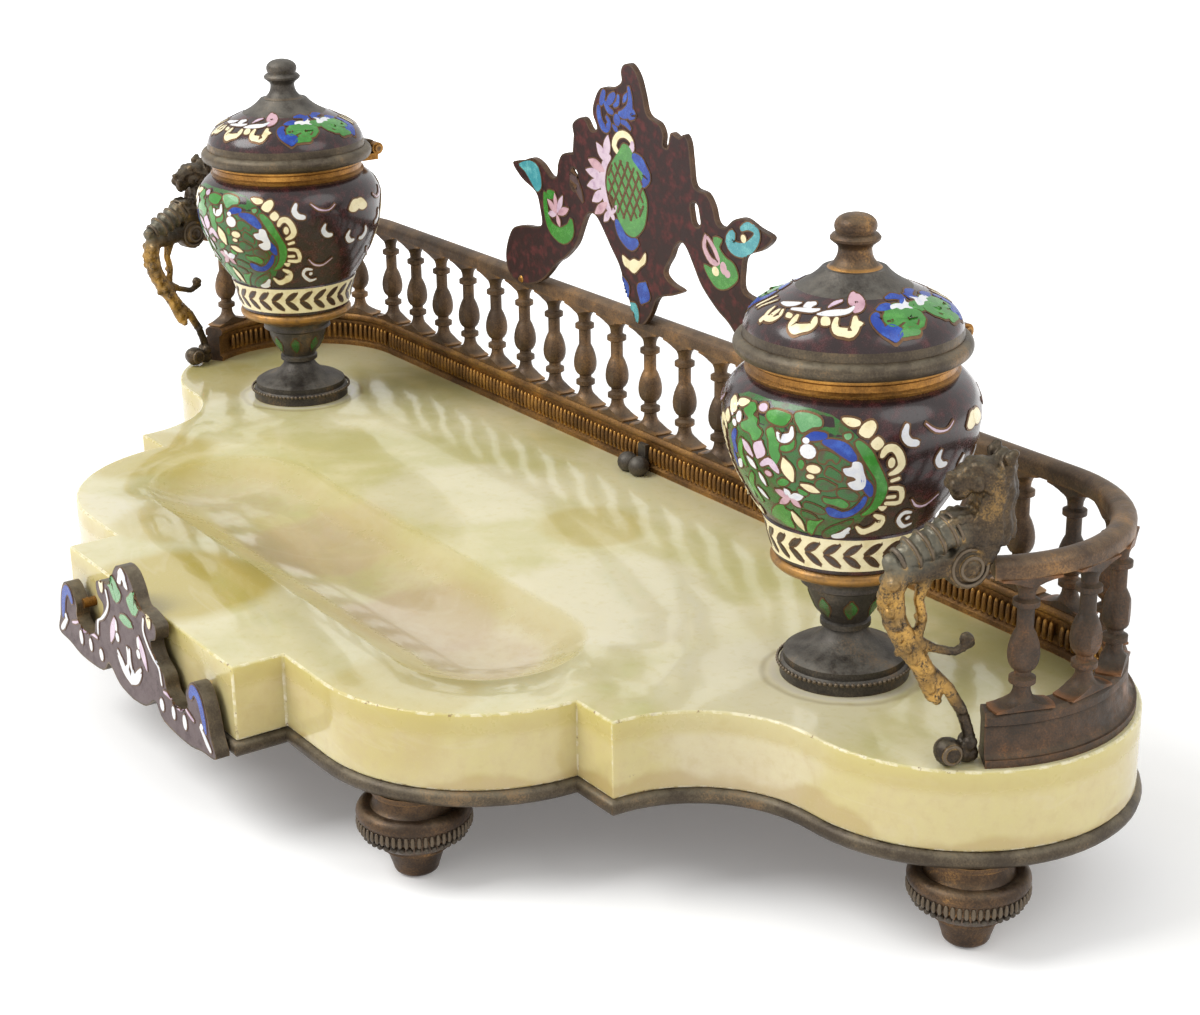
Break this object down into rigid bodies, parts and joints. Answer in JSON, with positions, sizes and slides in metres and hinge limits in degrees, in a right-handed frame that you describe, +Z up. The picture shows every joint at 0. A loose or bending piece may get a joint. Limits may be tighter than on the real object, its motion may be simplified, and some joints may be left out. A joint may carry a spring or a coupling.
{
  "type": "desk inkstand",
  "caption": "Desk inkstand with a scalloped onyx slab, a pen tray, a baluster gallery, a pierced crest and lidded enamelled ink urns on a moulded base with turned feet.",
  "frame": {"origin": "under the middle of the stand's bounding box, at the bottom of the feet", "axes": "+X along the length to the right as seen from the front, +Y towards the gallery at the back, +Z up"},
  "size_m": [0.3564, 0.1567, 0.1458],
  "materials": {
    "bronze": "dark patina with gilt rubbed edges",
    "gilt": "worn gilding",
    "onyx": "polished",
    "enamel": "glossy enamel in bronze cells",
    "glass": "clear"
  },
  "bodies": {
    "stand": {"base_plate": "bronze", "base_rim": "bronze", "onyx_slab": "onyx", "foot_front_left": "bronze", "foot_front_right": "bronze", "foot_end_left": "bronze", "foot_end_right": "bronze", "gallery_base": "bronze", "gallery_rail": "bronze", "balusters_left_end": "bronze", "balusters_back_left": "bronze", "balusters_back_right": "bronze", "balusters_right_end": "bronze", "griffin_left": "bronze", "griffin_right": "bronze", "crest": "enamel", "crest_rivets": "gilt", "centre_lug": "bronze", "front_plaque": "enamel", "plaque_pins": "gilt", "urn_rods": "gilt", "urn_washers": "bronze", "urn_nuts": "bronze", "gallery_screws": "gilt", "left_pedestal": "bronze", "left_vase": "enamel", "left_collar": "gilt", "left_liner": "glass", "left_pin": "bronze", "right_pedestal": "bronze", "right_vase": "enamel", "right_collar": "gilt", "right_liner": "glass", "right_pin": "bronze"},
    "left_lid": {"left_lid_rim": "bronze", "left_dome": "enamel", "left_finial": "bronze"},
    "right_lid": {"right_lid_rim": "bronze", "right_dome": "enamel", "right_finial": "bronze"}
  },
  "joints": [
    {"name": "left_lid_hinge", "type": "hinge", "parent": "stand", "child": "left_lid", "pos_m": [-0.12, 0.0548, 0.1091], "axis": [-1, 0, 0], "range_deg": [0, 105]},
    {"name": "right_lid_hinge", "type": "hinge", "parent": "stand", "child": "right_lid", "pos_m": [0.12, 0.0548, 0.1091], "axis": [-1, 0, 0], "range_deg": [0, 105]}
  ]
}
